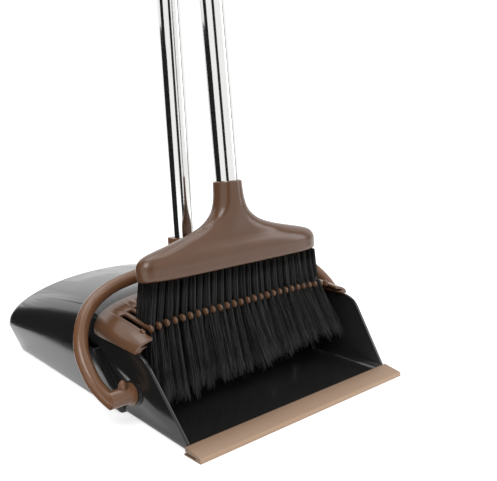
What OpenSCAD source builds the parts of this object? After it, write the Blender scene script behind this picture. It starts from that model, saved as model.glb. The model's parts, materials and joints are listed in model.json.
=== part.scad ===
/* [Pan] */
// Outer width of the pan at the floor, at its mouth
pan_w = 250; // [240:1:262]
// Distance from the hinge line back to the closed end
pan_back = 268; // [255:1:285]
// Distance from the hinge line forward to the tip of the lip
lip_reach = 93; // [91:0.5:97]
// Height of the hinge line above the floor
hinge_z = 30.5; // [30:0.25:32]
// Height of the side walls beside the mouth
wall_h = 71; // [68:0.5:73]
// Height of the hood behind the rim
hood_h = 99; // [97:0.5:99.5]
// Thickness of the walls and the hood
wall_t = 2.6; // [2:0.1:3]
// Thickness of the floor
floor_t = 3.2; // [2.8:0.1:3.2]
/* [Comb] */
// Distance between neighbouring slots
slot_pitch = 8.6; // [8.4:0.1:8.8]
// Width of one slot
slot_w = 5.6; // [5.4:0.1:6]
// Number of slots
slot_count = 27; // [25:2:27]
/* [Handles] */
// Outer diameter of the metal tubes
tube_d = 22; // [20:0.5:23]
// Wall of the metal tubes
tube_wall = 0.8; // [0.6:0.1:1.2]
// Outer diameter of the collars
collar_d = 28.6; // [28:0.2:30]
// Length of a collar
collar_len = 40; // [36:1:42]
// Distance from one collar of a handle to the next
section_len = 245; // [235:1:250]
// Backward lean of the pan's handle
pan_lean = 2.9; // [2.5:0.1:3.2]
// Backward lean of the broom
broom_lean = 5.3; // [5:0.1:5.5]
/* [Broom] */
// Length of the broom's head
head_len = 218; // [208:1:224]
// Depth of the broom's head, front to back
head_deep = 36; // [34:1:38]
// Height of the head's underside above the floor
head_z = 121.5; // [120:0.5:124]
// Width of one tuft of bristles
tuft_w = 4.6; // [4:0.1:4.8]
/* [Hidden] */
black = [0.04, 0.04, 0.045];
brown = [0.27, 0.17, 0.12];
tan = [0.45, 0.33, 0.25];
chrome = [0.75, 0.76, 0.77];
round_fn = 96;
fit_gap = 0.05;

// Pan shell: a narrower front tray and a wider rear hood, both lofted along Y
side_taper = 2.5;
flare = 9;
mouth_y = -lip_reach + 20;
rim_side_y = 55;
rim_mid_y = 80;
front_arch_points = 28;
rear_arch_points = 44;
corner_points = 4;
corner_r = 6;

// Hinge: the bow's pins turn in bosses on the side walls
pin_r = 7.6;
bore_r = pin_r + 0.1;
boss_r = 11.5;
boss_out = pan_w / 2 + 3.5;
boss_in = pan_w / 2 - 6;
elbow_x = pan_w / 2 + 24;
bow_tilt = 50;
bow_r = 6;

// Handle axes: a point on each and its lean
pan_axis_y = 89.6;
pan_axis_z = 104;
broom_axis_y = 12;
tube_r = tube_d / 2;
bore_tube_r = tube_r + fit_gap;
socket_z = 101.4;
socket_len = 36;
socket_w = 28;
pan_collar_t = 290;
broom_collar_t = 276;
grip_t = pan_collar_t + 2 * section_len - 13;
broom_grip_t = broom_collar_t + 3 * section_len - 20;
web_t = 2;
clip_t = broom_collar_t + 2 * section_len - 0.2;
clip_h = 13;
neck_r = tube_r + 3.5;

function mix(a, b, t) = a + (b - a) * t;
function clamp01(t) = min(1, max(0, t));
function spow(v, e) = (v < 0 ? -1 : 1) * pow(abs(v), e);

// Cross-section of the shell in X and Z: flat bottom, flared walls and a superellipse arch
function shell_section(y, low, wide, crease, top, bottom, e, arch_points) = concat(
    [for (k = [0:corner_points - 1]) let (a = 270 + 80 * k / (corner_points - 1))
        [low - corner_r + corner_r * cos(a), y, bottom + corner_r + corner_r * sin(a)]],
    [for (k = [0:arch_points]) let (a = 180 * k / arch_points)
        [wide * spow(cos(a), 2 / e), y, crease + (top - crease) * spow(sin(a), 2 / e)]],
    [for (k = [corner_points - 1:-1:0]) let (a = 270 + 80 * k / (corner_points - 1))
        [-(low - corner_r + corner_r * cos(a)), y, bottom + corner_r + corner_r * sin(a)]]);
function front_low(y) = pan_w / 2 - (y - mouth_y) * tan(side_taper);
function front_section(y, d, bottom) = shell_section(y, front_low(y) - d, front_low(y) + flare - d,
    wall_h - 5, 85 + 10 * y / 60 - d, bottom, 4, front_arch_points);
function rear_t(y) = (y - rim_side_y) / (pan_back - 18 - rim_side_y);
function rear_low(y) = mix(pan_w / 2, pan_w / 2 - 7, rear_t(y));
function rear_top(y) = hood_h - 21 * pow(clamp01(rear_t(y)), 1.3);
// Ease at the closed end: how far the outline has drawn in
function end_ease(y) = 16 * (1 - sqrt(max(0, 1 - pow(clamp01((y - pan_back + 18) / 18.6), 2))));
function rear_section(y, d, bottom, back) = let (ease = end_ease(y + back))
    shell_section(y, rear_low(y) - d - ease, mix(134, 129, rear_t(y)) - d - ease, mix(56, 34, rear_t(y)),
        rear_top(y) - d - ease, bottom, mix(3.2, 2.1, clamp01(rear_t(y))), rear_arch_points);

// A closed solid through rings of the same length
module loft(rings) {
    n = len(rings[0]);
    m = len(rings);
    polyhedron(
        points = [for (r = rings) for (p = r) p],
        faces = concat(
            [for (i = [0:m - 2]) for (k = [0:n - 1])
                [i * n + k, (i + 1) * n + k, (i + 1) * n + (k + 1) % n]],
            [for (i = [0:m - 2]) for (k = [0:n - 1])
                [i * n + k, (i + 1) * n + (k + 1) % n, i * n + (k + 1) % n]],
            [[for (k = [0:n - 1]) k]],
            [[for (k = [n - 1:-1:0]) (m - 1) * n + k]]),
        convexity = 8);
}

module front_solid(d, bottom, y0) {
    loft([front_section(84, d, bottom), front_section(y0, d, bottom)]);
}

// Stations from the closed end forward; the last 18 mm are rounded over
function rear_stations(back) = concat([for (k = [5:-1:0]) back - 18 + 18 * sin(90 * k / 5)],
    [225, 195, 160, 125, 90, 55, 25]);
module rear_solid() {
    loft([for (y = rear_stations(pan_back)) rear_section(y, 0, 0, 0)]);
}
// Inside of the rear hood: the same loft, thinner all round and closed before the end wall
module rear_inner() {
    loft([for (y = rear_stations(pan_back - wall_t)) rear_section(y, wall_t, floor_t, wall_t)]);
}

// Plan outline of a bay that reaches side_y at its ends and mid_y in the middle
function bay(half, side_y, mid_y) = concat([[half, -120], [half, side_y]],
    [for (k = [1:23]) let (a = 180 * k / 24) [half * cos(a), side_y + (mid_y - side_y) * pow(sin(a), 0.7)]],
    [[-half, side_y], [-half, -120]]);

// The part of space in which the rear hood lies, moved back by d
module rear_space(d) {
    difference() {
        rotate([90, 0, 90])
            linear_extrude(400, center = true)
                polygon([[30 + d, -5], [30 + d, 25], [rim_side_y + d, 57], [rim_side_y + d, 140],
                    [320, 140], [320, -5]]);
        translate([0, d, 58])
            linear_extrude(100)
                polygon(bay(150, rim_side_y - 1, rim_mid_y));
    }
}

// Side outline that is cut from the front: sloping wall ends, rounded corner, level wall top
module front_trim() {
    corner = [-26, wall_h];
    foot = [mouth_y + 0.7, 8];
    down = (foot - corner) / norm(foot - corner);
    a = corner + 14 * down;
    b = corner + [14, 0];
    rotate([90, 0, 90])
        linear_extrude(400, center = true)
            polygon(concat([[-150, floor_t], [mouth_y + 0.5, floor_t], foot],
                [for (t = [0:0.125:1]) (1 - t) * (1 - t) * a + 2 * t * (1 - t) * corner + t * t * b],
                [[36, wall_h], [41, wall_h + 6], [41, 140], [-150, 140]]));
}

module pan_body() {
    color(black)
        difference() {
            union() {
                difference() {
                    union() {
                        front_solid(0, 0, -lip_reach + 7);
                        intersection() {
                            rear_solid();
                            rear_space(0);
                        }
                    }
                    front_solid(wall_t, floor_t, -lip_reach - 10);
                    intersection() {
                        rear_inner();
                        rear_space(wall_t);
                    }
                    front_trim();
                    translate([0, 0, wall_h])
                        linear_extrude(80)
                            polygon(bay(front_low(40) + 1, 38, 60));
                    translate([-200, -lip_reach - 1, -1])
                        cube([400, 24, 2.4]);
                }
                for (s = [-1, 1])
                    translate([s * boss_in, 0, hinge_z])
                        rotate([0, s * 90, 0])
                            cylinder(h = boss_out - boss_in, r = boss_r, $fn = round_fn);
            }
            for (s = [-1, 1])
                translate([s * (boss_in + 1.5), 0, hinge_z])
                    rotate([0, s * 90, 0])
                        cylinder(h = 40, r = bore_r, $fn = round_fn);
        }
}

module pan_lip() {
    color(tan)
        rotate([90, 0, 90])
            linear_extrude(pan_w + 5, center = true)
                polygon([[-lip_reach, 0.4], [-lip_reach + 1, 0], [-lip_reach + 22, 0], [-lip_reach + 22, 1.4],
                    [-lip_reach + 7, 1.4], [-lip_reach + 7, floor_t], [mouth_y + 0.5, floor_t],
                    [mouth_y + 0.5, 7.4], [mouth_y - 0.5, 8], [-lip_reach + 1.5, 4.6],
                    [-lip_reach, 3.8]]);
}

module comb() {
    first = -(slot_count - 1) / 2 * slot_pitch;
    color(brown)
        union() {
            difference() {
                intersection() {
                    union() {
                        difference() {
                            front_solid(-2.4, 0, -60);
                            front_solid(-fit_gap, -1, -70);
                        }
                        // Rails along the tops of the side walls
                        intersection() {
                            difference() {
                                front_solid(-2.4, 0, -60);
                                front_solid(wall_t + 0.4, -1, -70);
                            }
                            translate([-200, -60, wall_h + 0.1])
                                cube([400, 95.5, 4]);
                        }
                    }
                    translate([0, 0, wall_h + 0.1])
                        linear_extrude(80)
                            intersection() {
                                polygon(bay(150, 38, 68));
                                translate([-200, -16])
                                    square([400, 200]);
                            }
                }
                // The mouth side is cut back between the rails
                translate([-116, -60, 0])
                    cube([232, 58, 150]);
                for (i = [0:slot_count - 1])
                    translate([first + i * slot_pitch - slot_w / 2, -10, 70])
                        cube([slot_w, 62 - 16 * pow(abs(first + i * slot_pitch) / 118, 2), 60]);
            }
            // Rounded tips that turn up at the ends of the teeth
            for (i = [0:slot_count])
                let (x = first + (i - 0.5) * slot_pitch)
                    translate([x, -1.6, tooth_z(x)])
                        rotate([0, 90, 0])
                            cylinder(h = slot_pitch - slot_w, r = 2.4, center = true, $fn = 24);
        }
}

// Height of the comb's middle surface at its mouth side
function tooth_z(x) = wall_h - 5
    + (85 - wall_h + 5 + 1.6) * pow(1 - pow(abs(x) / (front_low(0) + flare + 1.2), 4), 0.25);

// Bow: half of its centre line, as distance out and distance up the tilted plane
bow_half = [[elbow_x - 1, -4], [elbow_x + 5, 8], [elbow_x + 9, 24], [elbow_x + 8, 50], [elbow_x - 4, 75],
    [elbow_x - 26, 94], [elbow_x - 64, 106], [0, 114]];
function spline(p, i, t) = let (n = len(p) - 1, a = p[max(i - 1, 0)], b = p[i], c = p[min(i + 1, n)],
    d = i + 2 > n ? [-p[n - 1][0], p[n - 1][1]] : p[i + 2])
    0.5 * ((2 * b) + (c - a) * t + (2 * a - 5 * b + 4 * c - d) * t * t + (3 * b - a - 3 * c + d) * t * t * t);
bow_right = [for (i = [0:len(bow_half) - 2]) for (t = [0:0.25:0.75]) spline(bow_half, i, t)];
bow_path = concat(bow_right, [bow_half[len(bow_half) - 1]],
    [for (i = [len(bow_right) - 1:-1:0]) [-bow_right[i][0], bow_right[i][1]]]);
function unit(v) = v / norm(v);
function bow_dir(i) = unit(bow_path[min(i + 1, len(bow_path) - 1)] - bow_path[max(i - 1, 0)]);
bow_sides = 14;
bow_rings = [for (i = [0:len(bow_path) - 1]) let (t = bow_dir(i), n = [-t[1], t[0]])
    [for (k = [0:bow_sides - 1]) let (a = 360 * k / bow_sides, u = (bow_r + 0.5) * cos(a), v = bow_r * sin(a))
        [bow_path[i][0] + n[0] * u, bow_path[i][1] + n[1] * u, v]]];

module at_pan_handle(t) {
    translate([0, pan_axis_y, pan_axis_z])
        rotate([-pan_lean, 0, 0])
            translate([0, 0, t])
                children();
}

module at_broom(t) {
    translate([0, broom_axis_y, head_z])
        rotate([-broom_lean, 0, 0])
            translate([0, 0, t])
                children();
}

module bow() {
    color(brown)
        difference() {
            union() {
                translate([0, 0, hinge_z])
                    rotate([bow_tilt, 0, 0])
                        loft(bow_rings);
                for (s = [-1, 1]) {
                    translate([s * (boss_in + 2), 0, hinge_z])
                        rotate([0, s * 90, 0])
                            cylinder(h = elbow_x + 3 - boss_in - 2, r = pin_r, $fn = round_fn);
                    translate([s * (boss_out + 0.4), 0, hinge_z])
                        rotate([0, s * 90, 0])
                            cylinder(h = 3, r = boss_r - 1.5, $fn = round_fn);
                }
                // Square socket with rounded edges, and the web that joins it to the crown of the bow
                at_pan_handle(socket_z - pan_axis_z)
                    linear_extrude(socket_len)
                        hull()
                            for (x = [-1, 1], y = [-1, 1])
                                translate([x * (socket_w / 2 - 5), y * (socket_w / 2 - 5)])
                                    circle(5, $fn = 32);
                translate([-22, 70, 108])
                    cube([44, 12, 14]);
            }
            at_pan_handle(socket_z - pan_axis_z + 5)
                cylinder(h = socket_len, r = bore_tube_r, $fn = round_fn);
        }
}

module tube(from, to) {
    translate([0, 0, from])
        difference() {
            cylinder(h = to - from, r = tube_r, $fn = round_fn);
            translate([0, 0, -1])
                cylinder(h = to - from + 2, r = tube_r - tube_wall, $fn = round_fn);
        }
}

// Sleeve with a web half way, against which both tubes butt
module collar(from) {
    edge = 1.2;
    r = collar_d / 2;
    seat = (collar_len - web_t) / 2;
    translate([0, 0, from])
        difference() {
            rotate_extrude($fn = round_fn)
                polygon([[0, 0], [r - edge, 0], [r, edge], [r, collar_len - edge],
                    [r - edge, collar_len], [0, collar_len]]);
            translate([0, 0, -1])
                cylinder(h = seat + 1, r = bore_tube_r, $fn = round_fn);
            translate([0, 0, collar_len - seat])
                cylinder(h = seat + 1, r = bore_tube_r, $fn = round_fn);
        }
}

seat_t = (collar_len - web_t) / 2;
module pan_tube_lower() {
    color(chrome)
        at_pan_handle(0)
            tube(socket_z - pan_axis_z + 5, pan_collar_t + seat_t);
}
module pan_collar_lower() {
    color(brown)
        at_pan_handle(0)
            collar(pan_collar_t);
}
module pan_tube_middle() {
    color(chrome)
        at_pan_handle(0)
            tube(pan_collar_t + collar_len - seat_t, pan_collar_t + section_len + seat_t);
}
module pan_collar_upper() {
    color(brown)
        at_pan_handle(0)
            collar(pan_collar_t + section_len);
}
module pan_tube_upper() {
    color(chrome)
        at_pan_handle(0)
            tube(pan_collar_t + section_len + collar_len - seat_t, grip_t + 30);
}

// Bent grip: a straight neck on the tube, then a swept back arm that ends in a ball
grip_arm = [[0, 22, neck_r - 0.5], [0, 34, 13.5], [5, 45, 12], [14, 55, 11], [26, 63, 10.6], [39, 69, 11],
    [52, 74.5, 12], [62, 79, 12.6]];
function arm_dir(i) = unit([for (j = [0, 1]) grip_arm[min(i + 1, len(grip_arm) - 1)][j]
    - grip_arm[max(i - 1, 0)][j]]);
arm_sides = 28;
module pan_grip() {
    color(black)
        at_pan_handle(grip_t)
            difference() {
                union() {
                    cylinder(h = 32, r = neck_r, $fn = round_fn);
                    loft([for (i = [0:len(grip_arm) - 1]) let (d = arm_dir(i))
                        [for (k = [0:arm_sides - 1]) let (a = 360 * k / arm_sides, r = grip_arm[i][2])
                            [r * cos(a), grip_arm[i][0] + r * sin(a) * d[1], grip_arm[i][1] - r * sin(a) * d[0]]]]);
                    translate([0, 62, 79])
                        sphere(14, $fn = 48);
                }
                translate([0, 0, -1])
                    cylinder(h = 31, r = bore_tube_r, $fn = round_fn);
            }
}

// Ring on the grip's neck that carries a jaw, open to the front, for the broom's tube
module broom_clip() {
    gap = 15;
    color(black)
        difference() {
            union() {
                at_pan_handle(grip_t + 4)
                    cylinder(h = clip_h - 3, r = neck_r + 3, $fn = round_fn);
                at_broom(clip_t - clip_h)
                    cylinder(h = clip_h, r = tube_r + 3.6, $fn = round_fn);
                at_broom(clip_t - clip_h + 1.5)
                    translate([-6, tube_r + 1, 0])
                        cube([12, 20, clip_h - 3]);
            }
            at_pan_handle(grip_t - 20)
                cylinder(h = 60, r = neck_r + fit_gap, $fn = round_fn);
            at_broom(clip_t - clip_h - 1)
                cylinder(h = clip_h + 2, r = tube_r + 0.1, $fn = round_fn);
            at_broom(clip_t - clip_h - 1)
                translate([-gap / 2, -30, 0])
                    cube([gap, 30, clip_h + 2]);
        }
}

module head_slab(half, r, from, to) {
    for (s = [-1, 1])
        translate([s * (half - r), 0, from])
            cylinder(h = to - from, r = r, $fn = 32);
}

module broom_head() {
    half = head_len / 2;
    r = head_deep / 2;
    color(brown)
        at_broom(0)
            difference() {
                union() {
                    hull() {
                        head_slab(half - 1.5, r - 1.5, 0, 2);
                        head_slab(half, r, 2, 16);
                        head_slab(half - 4, r - 3, 16, 22);
                        head_slab(half - 16, r - 7, 22, 28);
                    }
                    hull() {
                        head_slab(half - 12, r - 8, 14, 27.5);
                        head_slab(34, r - 3, 30, 43);
                    }
                    hull() {
                        head_slab(38, r - 2, 20, 41);
                        cylinder(h = 52, r = 15, $fn = 32);
                    }
                    cylinder(h = 80, r1 = 15, r2 = 13.9, $fn = round_fn);
                }
                translate([0, 0, 40])
                    cylinder(h = 60, r = bore_tube_r, $fn = round_fn);
            }
}

module bristles() {
    rows = [-9, 0, 9];
    count = slot_count - 2;
    tip_z = floor_t + 0.35;
    color(black)
        for (i = [0:count - 1], row = rows)
            let (x = (i - (count - 1) / 2) * slot_pitch,
                    top = [broom_axis_y + row, head_z - 0.35 - row * sin(broom_lean)],
                    tip = [broom_axis_y + 2 + 1.15 * row, tip_z])
                translate([x, top[0], top[1]])
                    rotate([atan2(tip[0] - top[0], top[1] - tip[1]), 0, 0])
                        mirror([0, 0, 1])
                            cylinder(h = norm(top - tip) - 0.1, d = tuft_w, $fn = 8);
}

module broom_tube_lower() {
    color(chrome)
        at_broom(0)
            tube(40, broom_collar_t + seat_t);
}
module broom_collar_lower() {
    color(brown)
        at_broom(0)
            collar(broom_collar_t);
}
module broom_tube_middle() {
    color(chrome)
        at_broom(0)
            tube(broom_collar_t + collar_len - seat_t, broom_collar_t + section_len + seat_t);
}
module broom_collar_middle() {
    color(brown)
        at_broom(0)
            collar(broom_collar_t + section_len);
}
module broom_tube_upper() {
    color(chrome)
        at_broom(0)
            tube(broom_collar_t + section_len + collar_len - seat_t,
                broom_collar_t + 2 * section_len + seat_t);
}
module broom_collar_upper() {
    color(brown)
        at_broom(0)
            collar(broom_collar_t + 2 * section_len);
}
module broom_tube_top() {
    color(chrome)
        at_broom(0)
            tube(broom_collar_t + 2 * section_len + collar_len - seat_t, broom_grip_t + 100);
}

// Waisted grip with a flared foot and a round end, pierced for hanging
grip_len = 135;
grip_hole_t = grip_len - 16;
module broom_grip() {
    color(black)
        at_broom(broom_grip_t)
            difference() {
                union() {
                    rotate_extrude($fn = round_fn)
                        polygon(concat([[0, 0], [15.6, 0], [16.4, 1], [16.4, 3.5], [15.4, 5.5]],
                            [for (t = [0:0.05:1]) [13 + 1.9 * pow(sin(180 * t), 2), 9 + 94 * t]],
                            [[12.6, 106], [12.4, 110], [12.4, 113], [0, 113]]));
                    translate([0, 0, grip_hole_t])
                        rotate_extrude($fn = round_fn)
                            polygon(concat([[0, -14]], [for (a = [-60:7.5:90]) [15 * cos(a), 15 * sin(a) * 1.05]]));
                }
                translate([0, 0, -1])
                    cylinder(h = 101, r = bore_tube_r, $fn = round_fn);
                translate([0, 0, grip_hole_t])
                    rotate([0, 90, 0])
                        cylinder(h = 60, r = 4.5, center = true, $fn = round_fn);
            }
}

pan_body();
pan_lip();
comb();
bow();
pan_tube_lower();
pan_collar_lower();
pan_tube_middle();
pan_collar_upper();
pan_tube_upper();
pan_grip();
broom_clip();
broom_head();
bristles();
broom_tube_lower();
broom_collar_lower();
broom_tube_middle();
broom_collar_middle();
broom_tube_upper();
broom_collar_upper();
broom_tube_top();
broom_grip();
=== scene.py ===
# %% [markdown]
# # A long-handled dustpan and its broom
#
# The set stands on a pale floor: a glossy black pan lies flat, its handle rises from a brown bow, and the
# broom stands in the pan's mouth with its bristles threaded through the comb. The measured model is loaded
# first as a frame of bodies that can move. Every piece below is then made around it and rides on a body.

# %% Load the measured frame
import math
import json
import random

import bmesh
import bpy
from mathutils import Matrix, Vector


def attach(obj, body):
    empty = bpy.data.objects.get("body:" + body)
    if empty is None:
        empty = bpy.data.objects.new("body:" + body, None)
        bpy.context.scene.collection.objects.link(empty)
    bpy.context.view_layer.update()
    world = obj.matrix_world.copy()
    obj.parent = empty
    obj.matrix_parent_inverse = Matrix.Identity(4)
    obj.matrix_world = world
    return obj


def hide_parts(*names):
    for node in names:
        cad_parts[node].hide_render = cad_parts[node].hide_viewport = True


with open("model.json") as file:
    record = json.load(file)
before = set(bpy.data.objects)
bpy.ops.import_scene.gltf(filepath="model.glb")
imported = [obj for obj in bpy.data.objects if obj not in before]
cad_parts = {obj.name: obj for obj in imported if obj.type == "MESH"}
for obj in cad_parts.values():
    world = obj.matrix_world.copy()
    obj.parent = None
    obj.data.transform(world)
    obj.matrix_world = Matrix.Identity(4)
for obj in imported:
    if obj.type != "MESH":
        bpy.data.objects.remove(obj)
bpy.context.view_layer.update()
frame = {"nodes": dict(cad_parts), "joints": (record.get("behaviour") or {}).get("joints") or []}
MM = 0.001

# %% [markdown]
# ## Camera
#
# The set is seen from its front left, a little above the pan, with a normal lens close by. The handles run
# out of the top of the picture. The camera is aimed by azimuth, height angle, distance and a target point,
# because those are easy to read and to change. Azimuth 0 looks along +Y.

# %% Camera
SENSOR_W = 36


def aim_camera(azimuth, elevation, roll, distance, target, lens):
    """A camera that looks at target from an azimuth, an elevation and a distance."""
    az, el = math.radians(azimuth), math.radians(elevation)
    back = Vector((math.sin(az) * math.cos(el), -math.cos(az) * math.cos(el), math.sin(el)))
    data = bpy.data.cameras.new("camera")
    data.sensor_width = SENSOR_W
    data.lens = lens
    camera = bpy.data.objects.new("camera", data)
    bpy.context.collection.objects.link(camera)
    turn = back.to_track_quat("Z", "Y").to_matrix().to_4x4() @ Matrix.Rotation(math.radians(roll), 4, "Z")
    camera.matrix_world = Matrix.Translation(Vector(target) + back * distance) @ turn
    bpy.context.scene.camera = camera
    return camera


camera = aim_camera(-41.5, 11.24, -1.18, 0.652, (-0.0026, -0.0126, 0.1478), 50.7042)
print("lens %.1f mm" % camera.data.lens)

# %% [markdown]
# ## Shader maths
#
# Materials are made of nodes. A small class wraps one output socket, so that a mask or a height can be
# written as ordinary arithmetic, and one method adds any other kind of node.

# %% Shader helpers
class Wire:
    """One output socket of a material's node tree, usable in Python expressions."""

    def __init__(self, tree, socket):
        self.tree = tree
        self.socket = socket

    def maths(self, operation, first, second=None):
        node = self.tree.nodes.new("ShaderNodeMath")
        node.operation = operation
        for i, value in enumerate((first, second)):
            if isinstance(value, Wire):
                self.tree.links.new(value.socket, node.inputs[i])
            elif value is not None:
                node.inputs[i].default_value = value
        return Wire(self.tree, node.outputs[0])

    def __add__(self, other):
        return self.maths("ADD", self, other)

    __radd__ = __add__

    def __sub__(self, other):
        return self.maths("SUBTRACT", self, other)

    def __rsub__(self, other):
        return self.maths("SUBTRACT", other, self)

    def __mul__(self, other):
        return self.maths("MULTIPLY", self, other)

    __rmul__ = __mul__

    def __pow__(self, other):
        return self.maths("POWER", self, other)

    def clamp(self):
        return self.maths("MINIMUM", self.maths("MAXIMUM", self, 0.0), 1.0)


class Finish:
    """A material, with one method for any node and one for the surface."""

    def __init__(self, name):
        self.material = bpy.data.materials.new(name)
        self.material.use_nodes = True
        self.tree = self.material.node_tree
        self.tree.nodes.clear()

    def node(self, kind, settings=None, output=0, **values):
        node = self.tree.nodes.new("ShaderNode" + kind)
        for key, value in (settings or {}).items():
            if key == "stops":
                ramp = node.color_ramp
                for element, (place, grey) in zip(ramp.elements, value):
                    element.position = place
                    element.color = (grey, grey, grey, 1)
            else:
                setattr(node, key, value)
        for key, value in values.items():
            name = key.replace("_", " ")
            socket = next(s for s in node.inputs if s.name.lower() == name and s.enabled)
            if isinstance(value, Wire):
                self.tree.links.new(value.socket, socket)
            else:
                socket.default_value = value
        return Wire(self.tree, node.outputs[output])

    def place(self):
        return self.node("TexCoord", output=3)

    def noise(self, scale, detail=3.0, stretch=None):
        where = self.place()
        if stretch:
            where = self.node("Mapping", vector=where, scale=stretch)
        return self.node("TexNoise", vector=where, scale=scale, detail=detail)

    def tint(self, mask, dark, light):
        node = self.tree.nodes.new("ShaderNodeMix")
        node.data_type = "RGBA"
        self.tree.links.new(mask.socket, node.inputs["Factor"])
        node.inputs[6].default_value = (*dark, 1)
        node.inputs[7].default_value = (*light, 1)
        return Wire(self.tree, node.outputs[2])

    def surface(self, bump=None, strength=0.2, distance=0.0003, **values):
        shader = self.tree.nodes.new("ShaderNodeBsdfPrincipled")
        for key, value in values.items():
            socket = shader.inputs[key.replace("_", " ").title().replace("Ior", "IOR")]
            if isinstance(value, Wire):
                self.tree.links.new(value.socket, socket)
            else:
                socket.default_value = value
        if bump is not None:
            normal = self.node("Bump", height=bump, strength=strength, distance=distance)
            self.tree.links.new(normal.socket, shader.inputs["Normal"])
        end = self.tree.nodes.new("ShaderNodeOutputMaterial")
        self.tree.links.new(shader.outputs[0], end.inputs[0])
        return self.material


# %% [markdown]
# ## Finishes
#
# The pan is black polypropylene out of a polished mould: nearly mirror smooth, with a faint orange peel and
# light dust in the hollows. The brown parts are the same plastic with a satin skin. The lip is soft rubber.
# The tubes are polished steel with fine lines along them from the drawing bench. The bristles are black
# synthetic fibres.

# %% Finishes
def make_pan_black():
    f = Finish("pan_black")
    peel = f.noise(260, 2)
    haze = f.noise(9, 4)
    return f.surface(base_color=f.tint(haze, (0.010, 0.010, 0.010), (0.016, 0.016, 0.0155)),
        roughness=haze * 0.10 + 0.13, bump=peel, strength=0.05, distance=0.0002)


def make_moulded_brown(name, dark, light, gloss):
    f = Finish(name)
    skin = f.noise(900, 3)
    flow = f.noise(18, 5, (1, 1, 0.25))
    return f.surface(base_color=f.tint(flow, dark, light), roughness=flow * 0.10 + gloss,
        bump=skin, strength=0.10, distance=0.0002)


def make_lip_rubber():
    f = Finish("lip_rubber")
    grain = f.noise(1400, 3)
    worn = f.noise(30, 5, (0.3, 1, 1))
    # The lip's colour mixes random wear (the worn noise) with painted light: every face that points to the front (-Y)
    # gets the light tan as a painted highlight, while the top stays dark.
    facing = f.node("SeparateXYZ", output=1, vector=f.node("TexCoord", output=1))
    edge = (facing * -1.6).clamp()
    return f.surface(base_color=f.tint((worn * 0.20 + edge * 0.80).clamp(), (0.17, 0.10, 0.060), (0.52, 0.35, 0.23)),
        roughness=worn * 0.14 + 0.42, bump=grain, strength=0.22, distance=0.0002)


def make_tube_steel():
    f = Finish("tube_steel")
    lines = f.noise(40, 4, (60, 60, 0.4))
    spots = f.noise(25, 5)
    return f.surface(base_color=f.tint(spots, (0.80, 0.80, 0.79), (0.88, 0.88, 0.87)), metallic=1.0,
        roughness=spots * 0.06 + 0.07, bump=lines, strength=0.01, distance=0.0002)


def make_grip_black():
    f = Finish("grip_black")
    grain = f.noise(1500, 4)
    rub = f.noise(22, 4)
    return f.surface(base_color=f.tint(rub, (0.012, 0.012, 0.012), (0.022, 0.022, 0.022)),
        roughness=rub * 0.15 + 0.38, bump=grain, strength=0.35, distance=0.0002)


def make_bristle_black():
    f = Finish("bristle_black")
    fibre = f.noise(60, 3, (14, 14, 0.6))
    return f.surface(base_color=f.tint(fibre, (0.004, 0.004, 0.004), (0.020, 0.0195, 0.019)),
        roughness=fibre * 0.2 + 0.34)


PAN_BLACK = make_pan_black()
BOW_BROWN = make_moulded_brown("bow_brown", (0.165, 0.076, 0.037), (0.200, 0.096, 0.049), 0.14)
HEAD_BROWN = make_moulded_brown("head_brown", (0.108, 0.050, 0.026), (0.134, 0.065, 0.035), 0.16)
COMB_BROWN = make_moulded_brown("comb_brown", (0.122, 0.057, 0.029), (0.150, 0.074, 0.040), 0.16)
LIP_RUBBER = make_lip_rubber()
TUBE_STEEL = make_tube_steel()
GRIP_BLACK = make_grip_black()
BRISTLE_BLACK = make_bristle_black()
print("finishes:", len(bpy.data.materials))


# %% [markdown]
# ## Turning measured parts into moulded ones
#
# A moulding has no perfectly sharp edge: each edge catches a thin line of light. The measured mesh of a part
# is copied into a new piece, its flat facets are joined, a small bevel rounds the edges, and the shading is
# smooth across everything flatter than a given angle. That keeps the measured shape, apart
# from the rounded edges.

# %% Piece helpers
def add_piece(name, mesh, material, body, nodes):
    """A new piece that rides on a body, has one finish and stands for some measured parts."""
    piece = bpy.data.objects.new(name, mesh)
    bpy.context.collection.objects.link(piece)
    mesh.materials.clear()
    mesh.materials.append(material)
    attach(piece, body)
    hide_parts(*nodes)
    return piece


def smooth_by_angle(mesh, degrees):
    """Shade faces smooth, and mark the edges that are sharper than the angle."""
    work = bmesh.new()
    work.from_mesh(mesh)
    limit = math.radians(degrees)
    for face in work.faces:
        face.smooth = True
    for edge in work.edges:
        edge.smooth = len(edge.link_faces) == 2 and edge.calc_face_angle(0) < limit
    work.to_mesh(mesh)
    work.free()


def moulded(node, name, material, body, bevel=0.5, angle=32):
    """A copy of a measured part with joined facets and softly rounded edges."""
    mesh = frame["nodes"][node].data.copy()
    mesh.name = name
    work = bmesh.new()
    work.from_mesh(mesh)
    bmesh.ops.remove_doubles(work, verts=work.verts, dist=0.00002)
    bmesh.ops.dissolve_degenerate(work, edges=work.edges, dist=0.00003)
    bmesh.ops.dissolve_limit(work, angle_limit=math.radians(1.2), verts=work.verts, edges=work.edges)
    work.to_mesh(mesh)
    work.free()
    piece = add_piece(name, mesh, material, body, [node])
    soft = piece.modifiers.new("soft_edges", "BEVEL")
    soft.width = bevel * MM
    soft.segments = 2
    soft.limit_method = "ANGLE"
    soft.angle_limit = math.radians(angle)
    soft.use_clamp_overlap = True
    bpy.context.view_layer.update()
    shaped = bpy.data.meshes.new_from_object(piece.evaluated_get(bpy.context.evaluated_depsgraph_get()))
    piece.modifiers.clear()
    piece.data = shaped
    smooth_by_angle(shaped, angle)
    return piece


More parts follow.
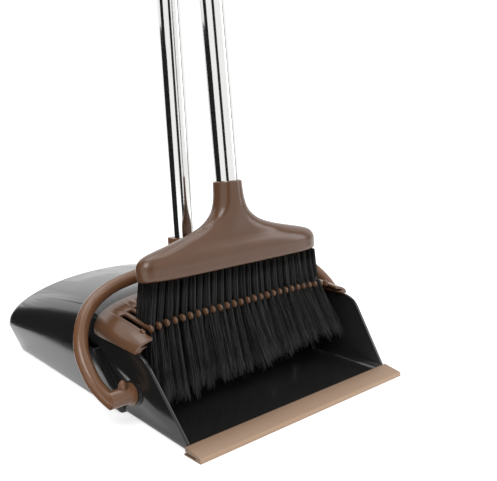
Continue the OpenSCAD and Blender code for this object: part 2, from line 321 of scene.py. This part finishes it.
def skin(rings, closed_ends=True):
    """A mesh through rings of points; the points of a ring go round once."""
    count = len(rings[0])
    faces = []
    for i in range(len(rings) - 1):
        for k in range(count):
            j = (k + 1) % count
            faces.append((i * count + k, i * count + j, (i + 1) * count + j, (i + 1) * count + k))
    if closed_ends:
        faces.append(tuple(range(count - 1, -1, -1)))
        faces.append(tuple((len(rings) - 1) * count + k for k in range(count)))
    mesh = bpy.data.meshes.new("skin")
    mesh.from_pydata([point for ring in rings for point in ring], [], faces)
    mesh.update()
    return mesh


# %% Places that the pieces share
joints = {joint["name"]: joint for joint in frame["joints"]}
broom_dir = Vector(joints["broom_lift"]["axis"]).normalized()
HEAD_BASE = Vector((0, 0.012, 0.1215))
broom_side = Vector((1, 0, 0))
broom_back = broom_dir.cross(broom_side)


def on_broom(x, y, t):
    """A point x to the side, y back and t up from the middle of the head's underside."""
    return HEAD_BASE + broom_side * x + broom_back * y + broom_dir * t


print("broom leans %.1f degrees" % math.degrees(math.asin(broom_dir.y)))

# %% [markdown]
# ## Pan and lip
#
# The pan is one thin black moulding, and the lip is a strip of softer rubber pressed onto its front edge. Both
# keep their measured shape. The walls are thin, so the bevels are small: a wide bevel would eat a thin wall.

# %% Pan and lip
moulded("pan_body", "pan_shell", PAN_BLACK, "pan", 0.6, 28)
moulded("pan_lip", "lip_strip", LIP_RUBBER, "pan", 0.35, 25)

# %% [markdown]
# ## Comb
#
# The comb strips hair and fluff from the bristles, which hang between its teeth. Each tooth ends in a full,
# rounded fingertip. The fingertips are stretched balls, set at the height that is measured on each tooth. They
# could be carved from the plate, but a ball sunk into the tooth looks the same and follows the curved plate.

# %% Comb
def add_domes(piece, places, radius, stretch, segments, angle):
    """Sink a stretched ball into a piece at each place."""
    work = bmesh.new()
    work.from_mesh(piece.data)
    for place in places:
        matrix = Matrix.Translation(place) @ Matrix.Diagonal((*stretch, 1))
        bmesh.ops.create_uvsphere(work, u_segments=segments[0], v_segments=segments[1], radius=radius,
            matrix=matrix)
    work.to_mesh(piece.data)
    work.free()
    smooth_by_angle(piece.data, angle)


SLOT_PITCH = 8.6
TEETH = 28


def fingertips():
    """The middle of each tooth's end, from the measured comb."""
    ends = [vertex.co.copy() for vertex in frame["nodes"]["comb"].data.vertices if vertex.co.y < 0.0005]
    places = []
    for tooth in range(TEETH):
        x = (tooth - (TEETH - 1) / 2) * 0.0086
        near = [end.z for end in ends if abs(end.x - x) < 0.002 and end.z > 0.073]
        if near:
            places.append((x, -0.0012, sum(near) / len(near)))
    return places


comb = moulded("comb", "comb_plate", COMB_BROWN, "pan", 0.45, 34)
comb_tips = fingertips()
add_domes(comb, comb_tips, 0.0037, (0.55, 1.1, 1), (20, 12), 34)
print("fingertips:", len(comb_tips))

# %% [markdown]
# ## Bow
#
# The bow is a thick round arch that carries the handle and turns on a pin at each side of the pan. A small domed
# stud stands on each elbow, between the arch and the pivot's flange, and is made as the fingertips are.

# %% Bow
bow = moulded("bow", "bow_arch", BOW_BROWN, "handle", 0.9, 38)
add_domes(bow, [(side * 0.1375, 0, 0.0395) for side in (-1, 1)], 0.0037, (1, 1, 1.55), (24, 14), 38)

# %% [markdown]
# ## Grips, clip and collars
#
# The grips and the clip are matt black, and each collar is a brown sleeve that joins two lengths of tube. A
# collar rides on the body that its name starts with: the pan's tubes belong to the handle.

# %% Grips, clip and collars
moulded("pan_grip", "bent_grip", GRIP_BLACK, "handle", 0.6, 38)
moulded("broom_clip", "tube_clip", GRIP_BLACK, "handle", 0.6, 38)
moulded("broom_grip", "waisted_grip", GRIP_BLACK, "broom", 0.5, 38)
collars = [name for name in frame["nodes"] if "collar" in name]
for collar in collars:
    moulded(collar, collar + "_sleeve", BOW_BROWN, "handle" if collar.startswith("pan") else "broom",
        0.5, 38)
print("collars:", len(collars))

# %% [markdown]
# ## Tubes
#
# A polished tube mirrors the room in straight lines, so its surface has to be perfectly round. Each tube is
# therefore turned afresh: its axis, ends and radius are measured on the measured part, and a ring is swept
# along it, with a small chamfer at both rims.

# %% Turned tubes
TUBE_WALL = 0.0008
RIM = 0.0003


def turned_tube(node, body):
    points = [vertex.co.copy() for vertex in frame["nodes"][node].data.vertices]
    low, high = min(p.z for p in points), max(p.z for p in points)
    ends = []
    for rim in ([p for p in points if p.z < low + 0.003], [p for p in points if p.z > high - 0.003]):
        ends.append(Vector((0, sum(p.y for p in rim) / len(rim), sum(p.z for p in rim) / len(rim))))
    along = (ends[1] - ends[0]).normalized()
    side = Vector((1, 0, 0))
    back = along.cross(side)
    spans = [(p - ends[0]).dot(along) for p in points]
    radius = max(p.x for p in points)
    t0, t1 = min(spans), max(spans)
    inner = radius - TUBE_WALL
    outline = [(inner, t0), (radius - RIM, t0), (radius, t0 + RIM), (radius, t1 - RIM), (radius - RIM, t1),
        (inner, t1), (inner, t0)]
    rings = []
    for r, t in outline:
        rings.append([ends[0] + along * t + side * (r * math.cos(a)) + back * (r * math.sin(a))
            for a in [2 * math.pi * k / 128 for k in range(128)]])
    mesh = skin(rings, closed_ends=False)
    work = bmesh.new()
    work.from_mesh(mesh)
    bmesh.ops.remove_doubles(work, verts=work.verts, dist=0.00001)
    bmesh.ops.recalc_face_normals(work, faces=work.faces)
    work.to_mesh(mesh)
    work.free()
    smooth_by_angle(mesh, 30)
    return add_piece(node + "_polished", mesh, TUBE_STEEL, body, [node])


for tube in [name for name in frame["nodes"] if "tube" in name]:
    piece = turned_tube(tube, "handle" if tube.startswith("pan") else "broom")
    print(piece.name, "length %.0f mm" % (piece.dimensions.z * 1000))

# %% [markdown]
# ## Broom head
#
# The head is one moulding: a long block with rounded ends whose shoulders sweep up in a hollow curve to the
# tube's socket. It is lofted upwards: every level has a rounded outline whose half length and half depth
# follow smooth profiles, and the corners grow rounder until the outline is the socket's circle.

# %% Broom head
HEAD_PROFILE = ((0, 105, 15.5, 5), (0.8, 107.3, 17.3, 5), (2.5, 108.6, 18, 5), (8, 109, 18, 5), (13, 108.8, 18, 5),
    (17, 107.4, 17.6, 4.6), (20, 104.5, 16.8, 4.2), (22.5, 99, 15.8, 3.8), (25, 90, 14.9, 3.4),
    (27.5, 79, 14.2, 3.1), (30.5, 66, 13.9, 2.9), (33.5, 54, 13.9, 2.7), (37, 43, 14, 2.5),
    (41, 33.5, 14.2, 2.3), (46, 26, 14.4, 2.2), (51, 20.8, 14.6, 2.1), (57, 17.4, 14.7, 2),
    (64, 15.3, 14.4, 2), (72, 14.3, 14.2, 2), (78.6, 13.9, 13.9, 2), (79.6, 13.5, 13.5, 2), (80, 12.6, 12.6, 2),
    (80, 11.3, 11.3, 2), (76, 11.2, 11.2, 2))


def smooth_profile(rows, steps):
    """The rows again with smooth in-between rows (a Catmull-Rom curve through them)."""
    out = []
    for i in range(len(rows) - 1):
        a, b, c, d = rows[max(i - 1, 0)], rows[i], rows[i + 1], rows[min(i + 2, len(rows) - 1)]
        for s in range(steps):
            t = s / steps
            out.append([0.5 * (2 * q + (r - p) * t + (2 * p - 5 * q + 4 * r - u) * t * t
                + (3 * q - p - 3 * r + u) * t ** 3) for p, q, r, u in zip(a, b, c, d)])
    return out + [list(rows[-1])]


def outline(half, deep, roundness, count=160):
    """Points of a stadium-like outline; a roundness of 2 is an ellipse."""
    points = []
    for k in range(count):
        a = 2 * math.pi * (k + 0.5) / count
        c, s = math.cos(a), math.sin(a)
        y = deep * math.copysign(abs(s) ** (2 / max(roundness * 0.45, 2)), s)
        x = half * math.copysign(abs(c) ** (2 / roundness), c)
        points.append((x, y))
    return points


rings = [[on_broom(x * MM, y * MM, t * MM) for x, y in outline(half, deep, e)]
    for t, half, deep, e in smooth_profile(HEAD_PROFILE, 3)]
head_mesh = skin(rings)
smooth_by_angle(head_mesh, 50)
add_piece("broom_head_moulding", head_mesh, HEAD_BROWN, "broom", ["broom_head"])

# %% [markdown]
# ## Bristles
#
# Each tuft is a bunch of soft plastic fibres. They leave the head close together, splay in the gaps of the
# comb, curl a little and end raggedly near the floor. Every fibre is a thin three-sided tapering strip on a
# bent line, drawn from a seeded random source so that each run gives the same brush.

# %% Bristles
random.seed(7)
TUFTS = 25
ROWS = (-11, -9, -4, -2, 2, 4, 9, 11)
FIBRES_PER_LOCK = 16
LEFT_REACH = -0.112


def fibre_points(root, lean, splay, length, curl):
    """Seven points down a fibre: x, y in mm from the head's middle and depth below its underside."""
    out = []
    for k in range(7):
        u = k / 6
        free = max(0, (u - 0.34) / 0.66)
        gather = 0.965 + 0.035 * min(1, u / 0.36)
        out.append((root[0] * gather + lean[0] * u ** 1.3 + splay[0] * free + curl[0] * free * math.sin(3 * u),
            root[1] + lean[1] * free ** 1.1 + splay[1] * free + curl[1] * free * math.sin(3 * u), length * u))
    return out


def wall_at(z):
    """How far right a fibre may reach: the pan's inner wall, and free air above it."""
    return 0.1165 + 0.009 * z / 0.071 if z < 0.074 else 0.131


verts, faces = [], []
for tuft in range(TUFTS):
    centre = (tuft - (TUFTS - 1) / 2) * SLOT_PITCH
    reach = centre / 104
    for row in ROWS:
        tuft_lean = (random.gauss(8.0 * reach + 3, 2.2), random.gauss(-20 - 6 * reach, 2.4))
        drop = 113 - 9 * (reach + 1) + random.uniform(-5, 3)
        for _ in range(FIBRES_PER_LOCK):
            r, a = 2.3 * math.sqrt(random.random()), random.uniform(0, 2 * math.pi)
            root = (centre + r * math.cos(a), row + r * math.sin(a))
            splay = (random.gauss(0, 1.7), random.gauss(0, 1.7))
            length = min(drop - 2.2 * math.hypot(*splay) + random.uniform(-3, 3), 117)
            curl = (random.gauss(0, 0.7), random.gauss(0, 0.7))
            points = fibre_points(root, tuft_lean, splay, length, curl)
            base = len(verts)
            for i, (x, y, down) in enumerate(points):
                width = 0.36 * (1 - 0.55 * i / 6)
                point = on_broom(x * MM, y * MM, 0)
                for k in range(3):
                    b = 2 * math.pi * k / 3 + a
                    x_side = max(point.x + width * MM * math.cos(b), LEFT_REACH)
                    verts.append((min(x_side, wall_at(point.z - down * MM)),
                        point.y + width * MM * math.sin(b), point.z - down * MM))
            for i in range(6):
                for k in range(3):
                    j = (k + 1) % 3
                    faces.append((base + 3 * i + k, base + 3 * i + 3 + k, base + 3 * i + 3 + j, base + 3 * i + j))
            faces.append((base + 18, base + 19, base + 20))
            faces.append((base + 2, base + 1, base))
bristle_mesh = bpy.data.meshes.new("fibres")
bristle_mesh.from_pydata(verts, [], faces)
bristle_mesh.update()
for polygon in bristle_mesh.polygons:
    polygon.use_smooth = True
add_piece("brush_fibres", bristle_mesh, BRISTLE_BLACK, "broom", ["bristles"])
print("fibres:", len(faces) // 20, "lowest %.1f mm" % (min(v[2] for v in verts) * 1000))

# %% [markdown]
# ## Floor, backdrop and light
#
# A plain white studio: the floor shows white to the camera but keeps a faint shadow under the pan. Gloss
# sees the same white room, so the black plastic and the steel pick up clean pale shapes. Large soft lamps
# stand to the left, above and to the right. Black boards that only gloss can see draw the dark lines in the
# tubes and keep the pan's side black: a polished surface shows only what stands around it.

# %% Studio
def make_floor():
    f = Finish("studio_floor")
    diffuse = f.tree.nodes.new("ShaderNodeBsdfDiffuse")
    diffuse.inputs["Color"].default_value = (0.86, 0.86, 0.86, 1)
    glow = f.tree.nodes.new("ShaderNodeEmission")
    glow.inputs["Color"].default_value = (1, 1, 1, 1)
    glow.inputs["Strength"].default_value = 0.62
    ray = f.tree.nodes.new("ShaderNodeLightPath")
    seen = Wire(f.tree, ray.outputs["Is Camera Ray"]) + Wire(f.tree, ray.outputs["Is Glossy Ray"])
    none = f.tree.nodes.new("ShaderNodeEmission")
    none.inputs["Strength"].default_value = 0.0
    pick = f.tree.nodes.new("ShaderNodeMixShader")
    f.tree.links.new(seen.clamp().socket, pick.inputs[0])
    f.tree.links.new(none.outputs[0], pick.inputs[1])
    f.tree.links.new(glow.outputs[0], pick.inputs[2])
    both = f.tree.nodes.new("ShaderNodeAddShader")
    f.tree.links.new(diffuse.outputs[0], both.inputs[0])
    f.tree.links.new(pick.outputs[0], both.inputs[1])
    end = f.tree.nodes.new("ShaderNodeOutputMaterial")
    f.tree.links.new(both.outputs[0], end.inputs[0])
    return f.material


def make_world():
    world = bpy.data.worlds.new("studio")
    world.use_nodes = True
    tree = world.node_tree
    tree.nodes.clear()
    ray = tree.nodes.new("ShaderNodeLightPath")
    seen = (Wire(tree, ray.outputs["Is Camera Ray"]) + Wire(tree, ray.outputs["Is Glossy Ray"])).clamp()
    strength = seen * 0.5 + 0.5
    back = tree.nodes.new("ShaderNodeBackground")
    back.inputs["Color"].default_value = (1, 1, 1, 1)
    tree.links.new(strength.socket, back.inputs["Strength"])
    end = tree.nodes.new("ShaderNodeOutputWorld")
    tree.links.new(back.outputs[0], end.inputs[0])
    bpy.context.scene.world = world


def soft_lamp(name, place, target, size, watts):
    data = bpy.data.lights.new(name, "AREA")
    data.shape = "RECTANGLE"
    data.size, data.size_y = size
    data.energy = watts
    lamp = bpy.data.objects.new(name, data)
    bpy.context.collection.objects.link(lamp)
    lamp.location = place
    lamp.rotation_euler = (Vector(place) - Vector(target)).to_track_quat("Z", "Y").to_euler()
    return lamp


def make_studio():
    half = 6
    mesh = bpy.data.meshes.new("studio_floor")
    mesh.from_pydata([(-half, -half, 0), (half, -half, 0), (half, half, 0), (-half, half, 0)], [], [(0, 1, 2, 3)])
    floor = bpy.data.objects.new("studio_floor", mesh)
    bpy.context.collection.objects.link(floor)
    mesh.materials.append(make_floor())
    make_world()
    soft_lamp("key_lamp", (-1.3, -0.9, 1.9), (0, 0, 0.1), (1.2, 1.2), 22)
    soft_lamp("top_lamp", (0.3, 0.5, 2.4), (0, 0, 0.1), (1.6, 1.6), 16)
    soft_lamp("right_lamp", (1.6, -0.8, 0.9), (0, 0, 0.2), (0.8, 1.4), 8)


def make_card_black(grey):
    f = Finish("card_black")
    return f.surface(base_color=(grey, grey, grey, 1), roughness=0.9, specular_ior_level=0.0)


def hidden_board(name, corners, grey=0.02):
    """A dark board that only polished surfaces see, as a photographer's black flag beside a shiny tube."""
    mesh = bpy.data.meshes.new(name)
    mesh.from_pydata(corners, [], [(0, 1, 2, 3)])
    board = bpy.data.objects.new(name, mesh)
    bpy.context.collection.objects.link(board)
    mesh.materials.append(make_card_black(grey))
    board.visible_camera = False
    board.visible_diffuse = False
    board.visible_shadow = False


def upright_board(name, azimuth, half_angle, radius, grey=0.02, height=2.6):
    """A tall board round the tubes, at an azimuth in the camera's sense (0 is on the -Y side)."""
    feet = []
    for side in (-1, 1):
        a = math.radians(azimuth + side * half_angle)
        feet.append((radius * math.sin(a), -radius * math.cos(a)))
    (x0, y0), (x1, y1) = feet
    hidden_board(name, [(x0, y0, 0), (x1, y1, 0), (x1, y1, height), (x0, y0, height)], grey)


make_studio()
upright_board("left_flag", -121, 19, 0.95)
upright_board("low_flag", -135, 36, 0.7, height=0.4)
upright_board("front_flag", -34, 13, 1.1)
upright_board("right_flag", 74, 7, 1.1, 0.25)
hidden_board("floor_flag", [(-0.95, -0.05, 0.002), (-0.16, -0.05, 0.002), (-0.16, 0.75, 0.002), (-0.95, 0.75, 0.002)])
bpy.context.scene.view_settings.view_transform = "Standard"
